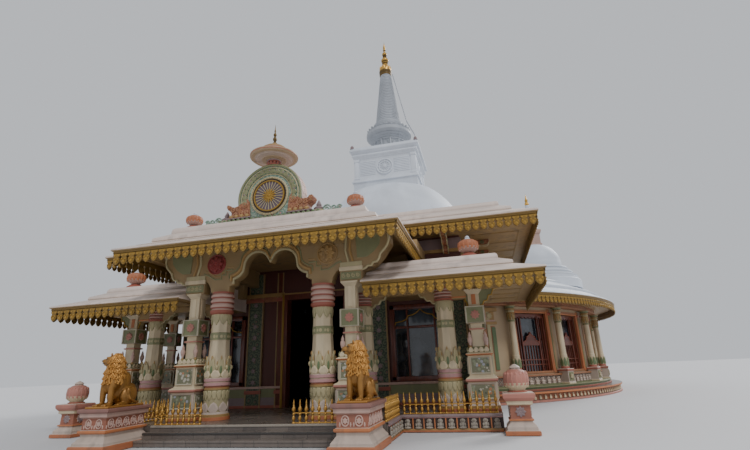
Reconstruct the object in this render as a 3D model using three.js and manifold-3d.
// Stupa shrine: a white dome on a round hall, with a pillared entrance porch in front.
// Millimetres, +Z up. The origin is on the axis of the dome at ground level, and the porch faces -Y.
import * as THREE from 'three';
import { mergeVertices } from 'three/addons/utils/BufferGeometryUtils.js';
import Module from 'manifold-3d';

const wasm = await Module();
wasm.setup();

// Shared driving sizes
const seat = 0.3;
const floorTop = 420;
const roundBays = 26;
const facets = 2 * roundBays;
const bayAngle = 360 / roundBays;

// Round hall
const plinthRadius = 13600;
const wallRadius = 12500;
const wallThickness = 300;
const roundWallTop = 4600;
const eaveRadius = 14000;
const deckTop = 5900;
const deckThickness = 300;
const windowSill = 1200;
const windowHead = 3900;
const windowWidth = 2100;
const firstWindowBay = 3;
const lastWindowBay = 23;
const glassThickness = 30;
const glassLap = 150;
const columnRadius = 190;
const columnRing = 12780;
const baseMouldRadius = 13100;
const baseMouldTop = 620;
const sillFriezeRadius = 12720;
const sillFriezeTop = 1100;
const pedestalTop = 1300;
const architraveBottom = 4180;
const architraveTop = 4480;
const architraveRadius = 12960;

// Stupa
const coreRadius = 6600;
const terraceRadii = [7400, 6900, 6350];
const terraceTops = [6700, 7400, 8100];
const domeRadius = 5600;
const domeCentre = 10000;
const harmikaHalf = 2350;
const harmikaBottom = 14300;
const harmikaTop = 18000;
const cupRadius = 1850;
const cupTop = 21000;
const coneTop = 26000;
const pinnacleTop = 29700;
const smallStupaRing = 10800;
const smallStupaAngles = [60, 120, 240, 300];

// Porch hall behind the columns
const hallHalf = 5500;
const hallFront = -16500;
const hallWall = 250;
const hallBack = -11130;
const hallTop = 6100;
const doorHalf = 1200;
const doorHead = 4300;
const hallWindow = { from: 2900, to: 4900, sill: 1250, head: 3650 };
const roofKerbBack = -8300;

// Porch floor, steps and front row
const frontEdge = -21300;
const pedestalBackEdge = -21200;
const wingEdge = -19570;
const centreHalf = 2690;
const returnHalf = 3640;
const wingFloorHalf = 6260;
const tread = 280;
const frontRow = -20070;
const frontColumnX = 1620;
const frontPillarX = 2480;
const pillarHalf = 290;
const wingRow = -18760;
const wingColumnX = 4950;
const wingPillarX = 5820;
const rearPillarY = -16790;

// Roofs of the porch
const canopy = { half: 4230, front: -21850, back: -16550, eave: 5130, lip: 90, platform: 6060 };
const canopyBodyBack = -18420;
const canopySoffit = 5400;
const wing = { inner: 2850, half: 7700, front: -20500, back: -14300, eave: 3870, lip: 80, platform: 4640 };
const main = { half: 8050, front: -18300, back: -8200, eave: 6100, lip: 110, platform: 7000 };
const valanceDepth = 440;
const valanceThickness = 50;
const valanceInset = 40;

const finishes = {
  white: { color: 0xe4e6ea, roughness: 0.6 },
  roof: { color: 0xdccdc4, roughness: 0.7 },
  gold: { color: 0xb88a2c, roughness: 0.38, metalness: 0.7 },
  ochre: { color: 0xb98a3a, roughness: 0.6 },
  cream: { color: 0xd9c9a8, roughness: 0.65 },
  terracotta: { color: 0xb4694c, roughness: 0.7 },
  pink: { color: 0xc98a78, roughness: 0.65 },
  floor: { color: 0x8a817a, roughness: 0.5 },
  glass: { color: 0x23282b, roughness: 0.1 },
  teal: { color: 0x7fa394, roughness: 0.65 },
};

const shrine = new THREE.Group();

// A closed solid from any three.js geometry: shared corners are merged and slivers dropped.
function solid(geometry) {
  const bare = geometry.clone();
  bare.deleteAttribute('normal');
  bare.deleteAttribute('uv');
  const merged = mergeVertices(bare, 0.01);
  const index = merged.index.array;
  const kept = [];
  for (let i = 0; i < index.length; i += 3) {
    const [a, b, c] = [index[i], index[i + 1], index[i + 2]];
    if (a !== b && b !== c && c !== a) kept.push(a, b, c);
  }
  return new wasm.Manifold(new wasm.Mesh({
    numProp: 3,
    vertProperties: new Float32Array(merged.attributes.position.array),
    triVerts: new Uint32Array(kept),
  }));
}

function join(...solids) {
  return solids.reduce((whole, next) => whole.add(next));
}

function geometryOf(body) {
  const mesh = body.getMesh();
  const geometry = new THREE.BufferGeometry();
  geometry.setAttribute('position', new THREE.BufferAttribute(new Float32Array(mesh.vertProperties), 3));
  geometry.setIndex(new THREE.BufferAttribute(new Uint32Array(mesh.triVerts), 1));
  geometry.computeVertexNormals();
  return geometry;
}

function piece(name, body, finish) {
  const mesh = new THREE.Mesh(geometryOf(body), new THREE.MeshStandardMaterial(finishes[finish]));
  mesh.name = name;
  shrine.add(mesh);
}

function block(x0, x1, y0, y1, z0, z1) {
  const box = new THREE.BoxGeometry(x1 - x0, y1 - y0, z1 - z0);
  box.translate((x0 + x1) / 2, (y0 + y1) / 2, (z0 + z1) / 2);
  return solid(box);
}

// A turned solid about a vertical axis at (x, y). Points are [radius, height], from the bottom up.
function turned(points, segments, x = 0, y = 0, start = 0) {
  const lathe = new THREE.LatheGeometry(points.map(([r, z]) => new THREE.Vector2(r, z)), segments, start);
  lathe.rotateX(Math.PI / 2);
  lathe.translate(x, y, 0);
  return solid(lathe);
}

function shapeOf(points) {
  return new THREE.Shape(points.map(([a, b]) => new THREE.Vector2(a, b)));
}

// An upright slab whose outline is drawn in front view, as [x, z] points.
function upright(shape, front, back) {
  const depth = back - front;
  const slab = new THREE.ExtrudeGeometry(shape, { depth, bevelEnabled: false, curveSegments: 5 });
  slab.rotateX(Math.PI / 2);
  slab.translate(0, back, 0);
  return solid(slab);
}

// A flat slab whose outline is drawn in plan, as [x, y] points.
function slab(points, bottom, top) {
  const plate = new THREE.ExtrudeGeometry(shapeOf(points), { depth: top - bottom, bevelEnabled: false });
  plate.translate(0, 0, bottom);
  return solid(plate);
}

function polar(radius, degrees) {
  const angle = THREE.MathUtils.degToRad(degrees);
  return [radius * Math.sin(angle), -radius * Math.cos(angle)];
}

// Part of a ring in plan, between two bearings in degrees from the front toward +X.
// Its corners stand at every facet of a bay edge, so a step of one bay gives flat bays.
function sector(inner, outer, from, to, bottom, top, step) {
  const bearings = [];
  for (let degrees = from; degrees < to + 0.01; degrees += step) bearings.push(degrees);
  const outside = bearings.map((degrees) => polar(outer, degrees));
  const inside = bearings.map((degrees) => polar(inner, degrees)).reverse();
  return slab([...outside, ...inside], bottom, top);
}

function turnedBlock(halfWidth, near, far, bottom, top, degrees) {
  const box = new THREE.BoxGeometry(2 * halfWidth, far - near, top - bottom);
  box.translate(0, -(near + far) / 2, (bottom + top) / 2);
  box.rotateZ(THREE.MathUtils.degToRad(degrees));
  return solid(box);
}

// A square block that widens or narrows in steps. Levels are [half width, height].
function steppedPost(levels, x, y, halfDepth = 1) {
  const parts = [];
  for (let i = 1; i < levels.length; i += 1) {
    const [half, top] = levels[i];
    const bottom = levels[i - 1][1] - (i > 1 ? 5 : 0);
    parts.push(block(x - half, x + half, y - half * halfDepth, y + half * halfDepth, bottom, top));
  }
  return join(...parts);
}

// A low hipped layer of a roof, from a rectangle at one level to a smaller one above it.
function frustum(low, high, bottom, top) {
  const corners = (r, z) => [[r.x0, r.y0, z], [r.x1, r.y0, z], [r.x1, r.y1, z], [r.x0, r.y1, z]];
  const points = [...corners(low, bottom), ...corners(high, top)].flat();
  const sides = [0, 1, 2, 3].flatMap((i) => {
    const j = (i + 1) % 4;
    return [i, j, j + 4, i, j + 4, i + 4];
  });
  const geometry = new THREE.BufferGeometry();
  geometry.setAttribute('position', new THREE.Float32BufferAttribute(points, 3));
  geometry.setIndex([0, 3, 2, 0, 2, 1, 4, 5, 6, 4, 6, 7, ...sides]);
  return solid(geometry);
}

function inset(r, d) {
  return { x0: r.x0 + (r.openLeft ? 0 : d), x1: r.x1 - (r.openRight ? 0 : d),
    y0: r.y0 + d, y1: r.y1 - (r.openBack ? 0 : d),
    openLeft: r.openLeft, openRight: r.openRight, openBack: r.openBack };
}

// The stepped roof: a thin eave, a long slope, a kerb, a short slope, a kerb and a flat platform.
function tieredRoof(plan, eave, lip, platform) {
  const rise = platform - eave - lip;
  const levels = [
    [0, eave], [0, eave + lip], [750, eave + lip + 0.38 * rise], [800, eave + lip + 0.42 * rise],
    [800, eave + lip + 0.56 * rise], [1120, eave + lip + 0.78 * rise], [1170, eave + lip + 0.82 * rise],
    [1170, platform],
  ];
  const layers = [];
  for (let i = 1; i < levels.length; i += 1) {
    const [lowInset, bottom] = levels[i - 1];
    const [highInset, top] = levels[i];
    layers.push(frustum(inset(plan, lowInset), inset(plan, highInset), bottom - (i > 1 ? 2 : 0), top));
  }
  return join(...layers);
}

// Round hall
const vestibuleCut = block(-hallHalf - seat, hallHalf + seat, -15000, hallBack, -10, 8000);
const hallBearing = 1.5 * bayAngle;
const fineStep = 360 / facets;

function roundPlinth() {
  const inner = coreRadius + seat;
  const points = [[inner, 0], [plinthRadius - 60, 0], [plinthRadius - 60, floorTop - 90],
    [plinthRadius, floorTop - 60], [plinthRadius, floorTop], [inner, floorTop], [inner, 0]];
  piece('round_plinth', turned(points, facets), 'terracotta');
}

function roundWalls() {
  const backJoint = join(turnedBlock(seat, 11000, 13500, 0, 5000, 9.5 * bayAngle),
    turnedBlock(seat, 11000, 13500, 0, 5000, 16.5 * bayAngle));
  const spans = {
    right: [hallBearing, 9.5 * bayAngle, 3, 9],
    back: [9.5 * bayAngle, 16.5 * bayAngle, 10, 16],
    left: [16.5 * bayAngle, 360 - hallBearing, 17, 23],
  };
  for (const [side, [from, to, firstBay, lastBay]] of Object.entries(spans)) {
    let wall = sector(wallRadius - wallThickness, wallRadius, from, to, floorTop + seat,
      roundWallTop - seat, bayAngle);
    for (let bay = firstBay; bay <= lastBay; bay += 1) {
      const degrees = bay * bayAngle;
      wall = wall.subtract(turnedBlock(windowWidth / 2, 11000, 13500, windowSill, windowHead, degrees));
    }
    if (side !== 'back') wall = wall.subtract(backJoint);
    piece(`round_wall_${side}`, wall.subtract(vestibuleCut), 'cream');

    const inner = wallRadius - wallThickness - seat;
    let panes = sector(inner - glassThickness, inner, (firstBay - 0.5) * bayAngle,
      (lastBay + 0.5) * bayAngle, windowSill - glassLap, windowHead + glassLap, bayAngle);
    if (side !== 'back') panes = panes.subtract(backJoint);
    piece(`round_windows_${side}`, panes, 'glass');
  }
}

function roundColonnade() {
  const back = wallRadius + seat;
  const from = hallBearing;
  const to = 360 - hallBearing;
  const parts = [
    sector(back, baseMouldRadius, from, to, floorTop + seat, baseMouldTop, bayAngle),
    sector(back, sillFriezeRadius, from, to, baseMouldTop - 5, sillFriezeTop, bayAngle),
    sector(back, architraveRadius, from, to, architraveBottom, architraveTop, bayAngle),
  ];
  for (let bay = firstWindowBay - 1; bay <= lastWindowBay; bay += 1) {
    const degrees = (bay + 0.5) * bayAngle;
    const [x, y] = polar(columnRing, degrees);
    const shaft = [[0, pedestalTop - 5], [columnRadius, pedestalTop - 5],
      [columnRadius + 30, architraveBottom + 5], [0, architraveBottom + 5]];
    parts.push(turnedBlock(260, back + 20, baseMouldRadius - 40, baseMouldTop - 5, pedestalTop, degrees));
    parts.push(turned(shaft, 8, x, y));
  }
  piece('round_colonnade', join(...parts).subtract(vestibuleCut), 'cream');
}

function roundRoof() {
  const ceiling = deckTop - deckThickness;
  const inner = coreRadius + seat;
  const points = [[inner, ceiling], [12050, ceiling], [12200, roundWallTop], [eaveRadius, roundWallTop],
    [eaveRadius, roundWallTop + 110], [13250, 5080], [13250, 5190], [12550, 5600], [11900, deckTop],
    [inner, deckTop], [inner, ceiling]];
  const inside = turned([[0, 4000], [12300, 4000], [12300, deckTop - 50], [0, deckTop - 50]], facets);
  const seats = smallStupaAngles.map((degrees) => {
    const [x, y] = polar(smallStupaRing, degrees);
    return turned([[0, 5000], [2250, 5000], [2250, deckTop], [0, deckTop]], 16, x, y).subtract(inside);
  });
  piece('round_roof', join(turned(points, facets), ...seats).subtract(vestibuleCut), 'roof');
  const outer = eaveRadius - valanceInset;
  const band = sector(outer - valanceThickness, outer, hallBearing, 360 - hallBearing,
    roundWallTop - valanceDepth, roundWallTop - seat, fineStep);
  piece('round_valance', band.subtract(vestibuleCut), 'gold');
}

// Small stupas stand on the round roof.
function smallStupa(x, y) {
  const rings = [[0, deckTop + seat], [2120, deckTop + seat], [2120, 6150], [1870, 6150], [1870, 6400],
    [1630, 6400], [1630, 6650], [1350, 6650], [1350, 7000], [1160, 7600], [760, 8050], [0, 8230]];
  const cone = [[0, 8950], [400, 8950], [430, 9150], [230, 9250], [120, 10800], [0, 11500]];
  const post = steppedPost([[0, 8100], [400, 8850], [480, 9000]], x, y);
  return join(turned(rings, 12, x, y), post, turned(cone, 8, x, y));
}

function smallStupas() {
  smallStupaAngles.forEach((degrees, i) => {
    const [x, y] = polar(smallStupaRing, degrees);
    piece(`small_stupa_${i + 1}`, smallStupa(x, y), 'white');
  });
}

// The great stupa over the round hall
function greatStupa() {
  const core = [[0, 0], [coreRadius, 0], [coreRadius, deckTop], [0, deckTop]];
  piece('stupa_core', turned(core, facets), 'white');

  const foot = deckTop + seat;
  const [wide, middle, narrow] = terraceRadii;
  const [first, second, third] = terraceTops;
  const terraces = [[0, foot], [wide, foot], [wide, first], [middle, first], [middle, second],
    [narrow, second], [narrow, third], [0, third]];
  piece('stupa_terraces', turned(terraces, 36), 'white');

  const dome = [[0, third + seat], [5350, third + seat]];
  const domeTop = harmikaBottom;
  const lowAngle = -16;
  const highAngle = THREE.MathUtils.radToDeg(Math.asin((domeTop - domeCentre) / domeRadius));
  const rings = 7;
  for (let i = 0; i <= rings; i += 1) {
    const angle = THREE.MathUtils.degToRad(lowAngle + (i / rings) * (highAngle - lowAngle));
    dome.push([domeRadius * Math.cos(angle), domeCentre + domeRadius * Math.sin(angle)]);
  }
  dome.push([0, domeTop]);
  piece('stupa_dome', turned(dome, 28), 'white');

  const foot2 = harmikaBottom + seat;
  const harmika = [[0, foot2], [harmikaHalf + 120, 15080], [harmikaHalf + 200, 15220], [harmikaHalf, 17150],
    [harmikaHalf + 180, 17400], [harmikaHalf + 330, 17760], [harmikaHalf + 260, harmikaTop]];
  const horns = [[-1, -1], [1, -1], [1, 1], [-1, 1]].map(([sx, sy]) => {
    const at = harmikaHalf + 150;
    return turned([[0, harmikaTop - 5], [150, harmikaTop - 5], [90, harmikaTop + 260], [0, harmikaTop + 320]],
      6, sx * at, sy * at);
  });
  piece('harmika', join(steppedPost(harmika, 0, 0), ...horns), 'white');

  const drumFoot = harmikaTop + seat;
  const drum = [[0, drumFoot], [1500, drumFoot], [1500, 18250], [1330, 18350], [1330, 19300],
    [cupRadius, 19850], [cupRadius, 20150], [1500, 20620], [1230, 20760], [1230, cupTop], [0, cupTop]];
  piece('spire_drum', turned(drum, 20), 'white');

  const cone = [[0, cupTop + seat], [1130, cupTop + seat], [1060, 21250], [470, coneTop], [0, coneTop]];
  piece('spire_cone', turned(cone, 20), 'white');

  const pinnacle = [[0, coneTop + seat], [520, coneTop + seat], [540, 26600], [480, 26850], [180, 27380],
    [320, 27600], [320, 27760], [130, 28100], [210, 28300], [210, 28450], [70, 28750], [110, 29150],
    [0, pinnacleTop]];
  piece('pinnacle', turned(pinnacle, 10), 'gold');
}

// Porch floor and steps
function porchFloor() {
  const back = -9500;
  const half = [[centreHalf, frontEdge], [centreHalf, pedestalBackEdge], [returnHalf, pedestalBackEdge],
    [returnHalf, wingEdge], [wingFloorHalf, wingEdge], [wingFloorHalf, back]];
  const mirrored = half.map(([x, y]) => [-x, y]).reverse();
  const clear = plinthRadius + seat;
  const plinthHole = turned([[0, -100], [clear, -100], [clear, 900], [0, 900]], facets);
  piece('porch_floor', slab([...half, ...mirrored], 0, floorTop).subtract(plinthHole), 'floor');

  const rise = floorTop / 3;
  const back2 = frontEdge - seat;
  const side = centreHalf - seat;
  const flight = block(-side, side, frontEdge - 2 * tread, back2, 0, rise)
    .add(block(-side, side, frontEdge - tread, back2, rise - 5, 2 * rise));
  piece('porch_steps', flight, 'floor');
}

// Lion pedestals and lions beside the steps
const pedestalX = 3200;
const pedestalFront = -22780;
const pedestalBack = pedestalBackEdge - seat;
const pedestalMiddle = (pedestalFront + pedestalBack) / 2;
const pedestalLength = (pedestalBack - pedestalFront) / 2;
const capTop = 945;

function lionPedestal(x) {
  const widest = 505;
  const levels = [[widest, 145], [450, 230], [395, 310], [336, 405], [392, 477], [328, 746], [393, 841],
    [443, capTop]];
  let bottom = 0;
  const courses = levels.map(([half, top]) => {
    const depth = pedestalLength - (widest - half);
    const course = block(x - half, x + half, pedestalMiddle - depth, pedestalMiddle + depth, bottom, top);
    bottom = top - 5;
    return course;
  });
  return join(...courses);
}

function blob(x, y, z, rx, ry, rz, tilt = 0, turn = 0) {
  const ball = new THREE.IcosahedronGeometry(1, 1);
  ball.scale(rx, ry, rz);
  ball.rotateX(THREE.MathUtils.degToRad(tilt));
  ball.rotateZ(THREE.MathUtils.degToRad(turn));
  ball.translate(x, y, z);
  return solid(ball);
}

// A seated lion, its head turned toward -X. It sits on a thin base on the pedestal.
function lion(x, y) {
  const foot = capTop + seat;
  const headTurn = -38;
  const parts = [
    block(x - 330, x + 330, y - 560, y + 620, foot, foot + 40),
    blob(x, y + 260, foot + 330, 290, 400, 330),
    blob(x, y - 60, foot + 560, 250, 300, 520, -22),
    blob(x, y - 190, foot + 860, 300, 290, 400, -8),
    blob(x - 60, y - 250, foot + 1130, 190, 250, 210, 0, headTurn),
    blob(x - 170, y - 420, foot + 1070, 110, 170, 110, 10, headTurn),
    block(x - 230, x - 80, y - 380, y - 200, foot, foot + 600),
    block(x + 80, x + 230, y - 380, y - 200, foot, foot + 600),
    block(x - 240, x - 70, y - 540, y - 300, foot, foot + 110),
    block(x + 70, x + 240, y - 540, y - 300, foot, foot + 110),
    blob(x - 270, y + 200, foot + 230, 120, 270, 260),
    blob(x + 270, y + 200, foot + 230, 120, 270, 260),
  ];
  const below = block(x - 900, x + 900, y - 1200, y + 1200, foot - 400, foot);
  return join(...parts).subtract(below);
}

// Corner posts of the wing plinths, each with a pot on top
const cornerPostHalf = 400;
const cornerPostX = wingFloorHalf + cornerPostHalf + seat;
const cornerPostY = wingEdge - 330;

function cornerPost(x, y) {
  const base = steppedPost([[0, 0], [cornerPostHalf, 90], [350, 200], [250, 290], [290, 340], [235, 640],
    [330, 760], [380, 890], [300, 940]], x, y);
  const pot = [[0, 930], [230, 930], [230, 1010], [300, 1150], [300, 1330], [190, 1460], [110, 1520],
    [0, 1600]];
  return join(base, turned(pot, 12, x, y));
}

// A rail of pointed balusters: one flat panel with its gaps cut through
const railHeight = 560;
const railThickness = 44;
const balusterWidth = 44;

function railPanel(from, to, y, bottom, count) {
  const foot = bottom + seat;
  const [lowRail, highRail, highRailTop] = [bottom + 50, bottom + 200, bottom + 245];
  const pitch = (to - from - balusterWidth) / (count - 1);
  const outline = [[from, foot], [to, foot]];
  for (let i = count - 1; i >= 0; i -= 1) {
    const left = from + i * pitch;
    const right = left + balusterWidth;
    const tip = [left + balusterWidth / 2, bottom + railHeight];
    if (i < count - 1) outline.push([right, highRailTop]);
    outline.push([right, tip[1] - 50], tip, [left, tip[1] - 50]);
    if (i > 0) outline.push([left, highRailTop]);
  }
  let panel = upright(shapeOf(outline), y - railThickness / 2, y + railThickness / 2);
  for (let i = 0; i < count - 1; i += 1) {
    const left = from + i * pitch + balusterWidth;
    const right = from + (i + 1) * pitch;
    panel = panel.subtract(block(left, right, y - railThickness, y + railThickness, lowRail, highRail));
  }
  return panel;
}

function railings() {
  const frontY = frontEdge + 70;
  const wingY = wingEdge + 150;
  for (const [side, s] of [['left', -1], ['right', 1]]) {
    const span = (a, b) => (s > 0 ? [a, b] : [-b, -a]);
    piece(`step_railing_${side}`, railPanel(...span(1250, 2650), frontY, floorTop, 10), 'gold');
    const [from, to] = span(returnHalf + 20, wingFloorHalf - 100);
    piece(`wing_railing_${side}`, railPanel(from, to, wingY, floorTop, 15), 'gold');
  }
}

// Round columns of the porch, with a lotus base and a ringed capital
const frontColumn = { top: 4000, neck: 3370, ring: 1500, ringRadius: 370, neckRadius: 265, capitalRadius: 345 };
const wingColumn = { top: 3480, neck: 3000, ring: 1420, ringRadius: 350, neckRadius: 240, capitalRadius: 305 };

function roundColumn(x, y, form, top = form.top - seat) {
  const foot = floorTop + seat;
  const { neck, ring, ringRadius, neckRadius, capitalRadius } = form;
  const points = [[0, foot], [410, foot], [410, 590], [345, 600], [345, ring - 160], [ringRadius, ring - 140],
    [ringRadius, ring], [330, ring + 20], [neckRadius, neck], [capitalRadius, neck + 60], [capitalRadius, top],
    [0, top]];
  return turned(points, 12, x, y);
}

// Square pillars with stepped picture pedestals
function squarePillarLevels(top) {
  return [[0, floorTop + seat], [430, 560], [400, 900], [440, 960], [360, 1010], [340, 1560], [370, 1620],
    [pillarHalf - 30, 2760], [pillarHalf, 3300], [pillarHalf - 30, top - 320], [pillarHalf + 40, top - seat]];
}

function porchColumns() {
  for (const [side, s] of [['left', -1], ['right', 1]]) {
    piece(`front_column_${side}`, roundColumn(s * frontColumnX, frontRow, frontColumn), 'cream');
    piece(`wing_column_${side}`, roundColumn(s * wingColumnX, wingRow, wingColumn), 'cream');
    piece(`front_pillar_${side}`, steppedPost(squarePillarLevels(4000), s * frontPillarX, frontRow), 'cream');
  }
}

const sideBeamBottom = 4780;

// The arched panel over the front row: two lobes with a cusp in the middle, and stepped shoulders
function frontArch() {
  const bottom = 4000;
  const top = canopySoffit - seat;
  const shape = new THREE.Shape();
  shape.moveTo(-3650, top);
  shape.lineTo(-3650, 4950);
  shape.lineTo(-3480, 4800);
  shape.lineTo(-3380, 4500);
  shape.lineTo(-3120, 4400);
  shape.lineTo(-2840, 4340);
  shape.lineTo(-2840, bottom);
  shape.lineTo(-2150, bottom);
  shape.lineTo(-2130, 4250);
  shape.lineTo(-2040, 4330);
  shape.lineTo(-1960, bottom);
  shape.lineTo(-1330, bottom);
  shape.lineTo(-1330, 4150);
  shape.lineTo(-1180, 4150);
  shape.lineTo(-1180, 4330);
  shape.quadraticCurveTo(-900, 4400, -850, 4700);
  shape.absarc(-430, 4720, 420, Math.PI, Math.PI * 0.17, true);
  shape.lineTo(0, 4810);
  shape.absarc(430, 4720, 420, Math.PI * 0.83, 0, true);
  shape.quadraticCurveTo(900, 4400, 1180, 4330);
  shape.lineTo(1180, 4150);
  shape.lineTo(1330, 4150);
  shape.lineTo(1330, bottom);
  shape.lineTo(1960, bottom);
  shape.lineTo(2040, 4330);
  shape.lineTo(2130, 4250);
  shape.lineTo(2150, bottom);
  shape.lineTo(2840, bottom);
  shape.lineTo(2840, 4340);
  shape.lineTo(3120, 4400);
  shape.lineTo(3380, 4500);
  shape.lineTo(3480, 4800);
  shape.lineTo(3650, 4950);
  shape.lineTo(3650, top);
  const beams = [-1, 1].map((s) => {
    const x = s * frontPillarX;
    return block(x - 140, x + 140, frontRow + 150, hallFront - seat, sideBeamBottom, top);
  });
  piece('front_arch', join(upright(shape, frontRow - 160, frontRow + 160), ...beams), 'cream');
}

// Each wing: front and rear square pillars and an inner round column, joined by their beams, and a post over
// the inner column that carries the canopy's side beam
function wingFrames() {
  const top = wing.eave - seat;
  const beamBottom = 3480;
  const beamHalf = 140;
  const overlap = 20;
  for (const [side, s] of [['left', -1], ['right', 1]]) {
    const span = (a, b) => (s > 0 ? [a, b] : [-b, -a]);
    const x = s * wingPillarX;
    const parts = [
      steppedPost(squarePillarLevels(beamBottom + 20), x, wingRow),
      steppedPost(squarePillarLevels(beamBottom + 20), x, rearPillarY, 0.65),
      roundColumn(s * frontPillarX, wingRow, wingColumn, beamBottom + overlap),
      block(...span(frontPillarX - beamHalf, 6700), wingRow - beamHalf, wingRow + beamHalf, beamBottom, top),
      block(...span(frontPillarX - beamHalf, frontPillarX + beamHalf), wingRow - beamHalf, wingRow + beamHalf,
        beamBottom, sideBeamBottom - seat),
      block(...span(wingPillarX - beamHalf, wingPillarX + beamHalf), wingRow, rearPillarY, beamBottom, top),
    ];
    piece(`wing_frame_${side}`, join(...parts), 'cream');
  }
}

// Hall walls behind the porch, with a window each side of the doorway
function hallWalls() {
  const foot = floorTop + seat;
  const top = hallTop - seat;
  for (const [side, s] of [['left', -1], ['right', 1]]) {
    const span = (a, b) => (s > 0 ? [a, b] : [-b, -a]);
    const { from, to, sill, head } = hallWindow;
    let wall = join(
      block(...span(doorHalf, hallHalf), hallFront, hallFront + hallWall, foot, top),
      block(...span(hallHalf - hallWall, hallHalf), hallFront, hallBack - seat, foot, top),
      block(...span(hallHalf - hallWall, hallHalf), hallBack - 10, roofKerbBack, deckTop + seat, top),
    );
    wall = wall.subtract(block(...span(from, to), hallFront - 100, hallFront + 400, sill, head));
    piece(`hall_wall_${side}`, wall, 'terracotta');
    const paneY = hallFront + 100;
    const pane = block(...span(from + seat, to - seat), paneY, paneY + 60, sill + seat, head - seat);
    piece(`hall_window_${side}`, pane, 'glass');
  }
  const lintel = block(-doorHalf + seat, doorHalf - seat, hallFront, hallFront + hallWall, doorHead, top);
  piece('hall_wall_over_door', lintel, 'terracotta');
}

// The three stepped roofs of the porch and their hanging valances
function valance(plan, eave, sides) {
  const outer = inset({ ...plan, openBack: true }, valanceInset);
  const inner = inset(outer, valanceThickness);
  const left = sides.includes('left')
    ? [[inner.x0, outer.y1], [outer.x0, outer.y1], [outer.x0, outer.y0]] : [[outer.x0, outer.y0]];
  const right = sides.includes('right')
    ? [[outer.x1, outer.y0], [outer.x1, outer.y1], [inner.x1, outer.y1]] : [[outer.x1, outer.y0]];
  const back = [[sides.includes('right') ? inner.x1 : outer.x1, inner.y0],
    [sides.includes('left') ? inner.x0 : outer.x0, inner.y0]];
  return slab([...left, ...right, ...back], eave - valanceDepth, eave - seat);
}

function porchRoofs() {
  const canopyPlan = { x0: -canopy.half, x1: canopy.half, y0: canopy.front, y1: canopyBodyBack,
    openBack: true };
  const recess = block(-canopy.half + 350, canopy.half - 350, canopy.front + 350, canopy.back + 500,
    canopy.eave - 100, canopySoffit);
  const bridge = block(-canopy.half, canopy.half, canopyBodyBack - 100, canopy.back, canopy.eave,
    canopySoffit + 150);
  const canopyBody = tieredRoof(canopyPlan, canopy.eave, canopy.lip, canopy.platform);
  const canopyRoof = canopyBody.add(bridge).subtract(recess);
  piece('canopy_roof', canopyRoof, 'roof');
  piece('canopy_valance', valance(canopyPlan, canopy.eave, ['left', 'right']), 'gold');

  const hallBlock = block(-hallHalf - seat, hallHalf + seat, hallFront - seat, 0, 0, 9000);
  for (const [side, s] of [['left', -1], ['right', 1]]) {
    const plan = s > 0
      ? { x0: wing.inner, x1: wing.half, y0: wing.front, y1: wing.back, openLeft: true }
      : { x0: -wing.half, x1: -wing.inner, y0: wing.front, y1: wing.back, openRight: true };
    const roof = tieredRoof(plan, wing.eave, wing.lip, wing.platform);
    piece(`wing_roof_${side}`, roof.subtract(hallBlock), 'roof');
    const band = { ...plan, y1: wing.back - 60 };
    piece(`wing_valance_${side}`, valance(band, wing.eave, [s > 0 ? 'right' : 'left']), 'gold');
  }

  const mainPlan = { x0: -main.half, x1: main.half, y0: main.front, y1: main.back };
  piece('main_roof', tieredRoof(mainPlan, main.eave, main.lip, main.platform), 'roof');
  piece('main_valance', valance({ ...mainPlan, y1: -9900 }, main.eave, ['left', 'right']), 'gold');
}

// A pot with a lid, as it stands on the roofs
function pot(x, y, z, scale) {
  const points = [[0, 0], [330, 0], [330, 60], [180, 130], [300, 330], [240, 520], [110, 570], [0, 680]];
  const placed = points.map(([r, h]) => [r * scale, z + h * scale]);
  return turned(placed, 10, x, y);
}

function wingPots() {
  for (const [side, s] of [['left', -1], ['right', 1]]) {
    piece(`wing_pot_${side}`, pot(s * 5830, wingRow - 270, wing.platform + seat, 1), 'terracotta');
  }
}

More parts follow.
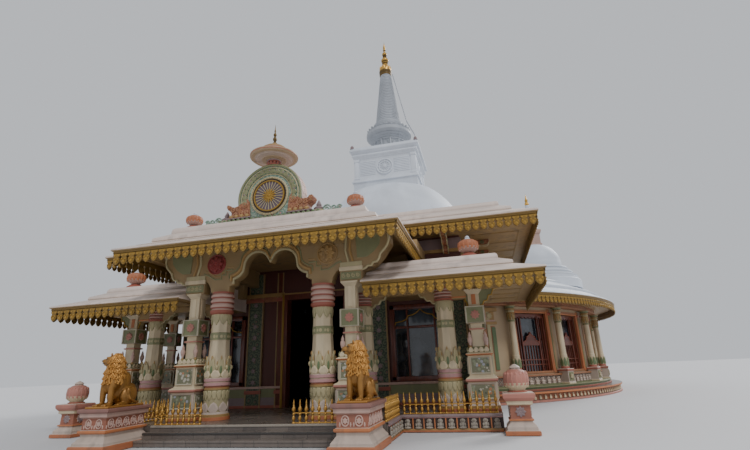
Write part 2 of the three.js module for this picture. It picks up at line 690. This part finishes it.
// The wheel pediment on the canopy: base band, round arch, side scrolls, wheel, and a parasol on top
function pediment() {
  const middle = -20250;
  const foot = canopy.platform + seat;
  const arch = new THREE.Shape();
  const archHalf = 1080;
  const archCentre = 6850;
  arch.moveTo(-archHalf, foot + 20);
  arch.lineTo(archHalf, foot + 20);
  arch.lineTo(archHalf, archCentre);
  arch.absarc(0, archCentre, archHalf, 0, Math.PI, false);
  const scroll = (s) => shapeOf([[0.9, 6.2], [1.75, 6.2], [1.62, 6.5], [1.8, 6.85], [1.45, 6.78], [0.9, 6.72]]
    .map(([x, z]) => [s * x * 1000, z * 1000]));
  const kerb = block(-3020, 3020, middle - 230, middle + 230, foot, foot + 60);
  const band = block(-2050, 2050, middle - 260, middle + 260, foot, foot + 140);
  const pots = [-1, 1].map((s) => pot(s * 2730, middle - 30, foot + 50, 0.85));
  const finials = [-1, 1].map((s) => turned([[0, foot + 130], [190, foot + 130], [150, foot + 260],
    [60, foot + 300], [70, foot + 430], [0, foot + 520]], 8, s * 1980, middle));
  const archFront = middle - 200;
  const archBody = upright(arch, archFront, middle + 220);
  const scrolls = [-1, 1].map((s) => upright(scroll(s), middle - 120, middle + 140));
  piece('pediment', join(kerb, band, archBody, ...scrolls, ...pots, ...finials), 'teal');

  piece('wheel', upright(discShape(640, archCentre, 24), archFront - 90 - seat, archFront - seat), 'gold');

  const neck = archCentre + archHalf;
  const parasol = [[0, neck + seat], [230, neck + seat], [150, neck + 150], [770, neck + 330],
    [770, neck + 390], [430, neck + 470], [430, neck + 560], [90, neck + 800], [110, neck + 980],
    [60, neck + 1100], [0, neck + 1600]];
  piece('parasol', turned(parasol, 14, 0, middle + 10), 'pink');
}

function discShape(radius, height, sides) {
  const points = [];
  for (let i = 0; i < sides; i += 1) {
    const angle = (i / sides) * 2 * Math.PI;
    points.push([radius * Math.cos(angle), height + radius * Math.sin(angle)]);
  }
  return shapeOf(points);
}

roundPlinth();
roundWalls();
roundColonnade();
roundRoof();
smallStupas();
greatStupa();
porchFloor();
for (const [side, s] of [['left', -1], ['right', 1]]) {
  piece(`lion_pedestal_${side}`, lionPedestal(s * pedestalX), 'pink');
  piece(`lion_${side}`, lion(s * pedestalX, pedestalMiddle - 60), 'gold');
  piece(`corner_post_${side}`, cornerPost(s * cornerPostX, cornerPostY), 'pink');
}
railings();
porchColumns();
frontArch();
wingFrames();
hallWalls();
porchRoofs();
wingPots();
pediment();

export default shrine;
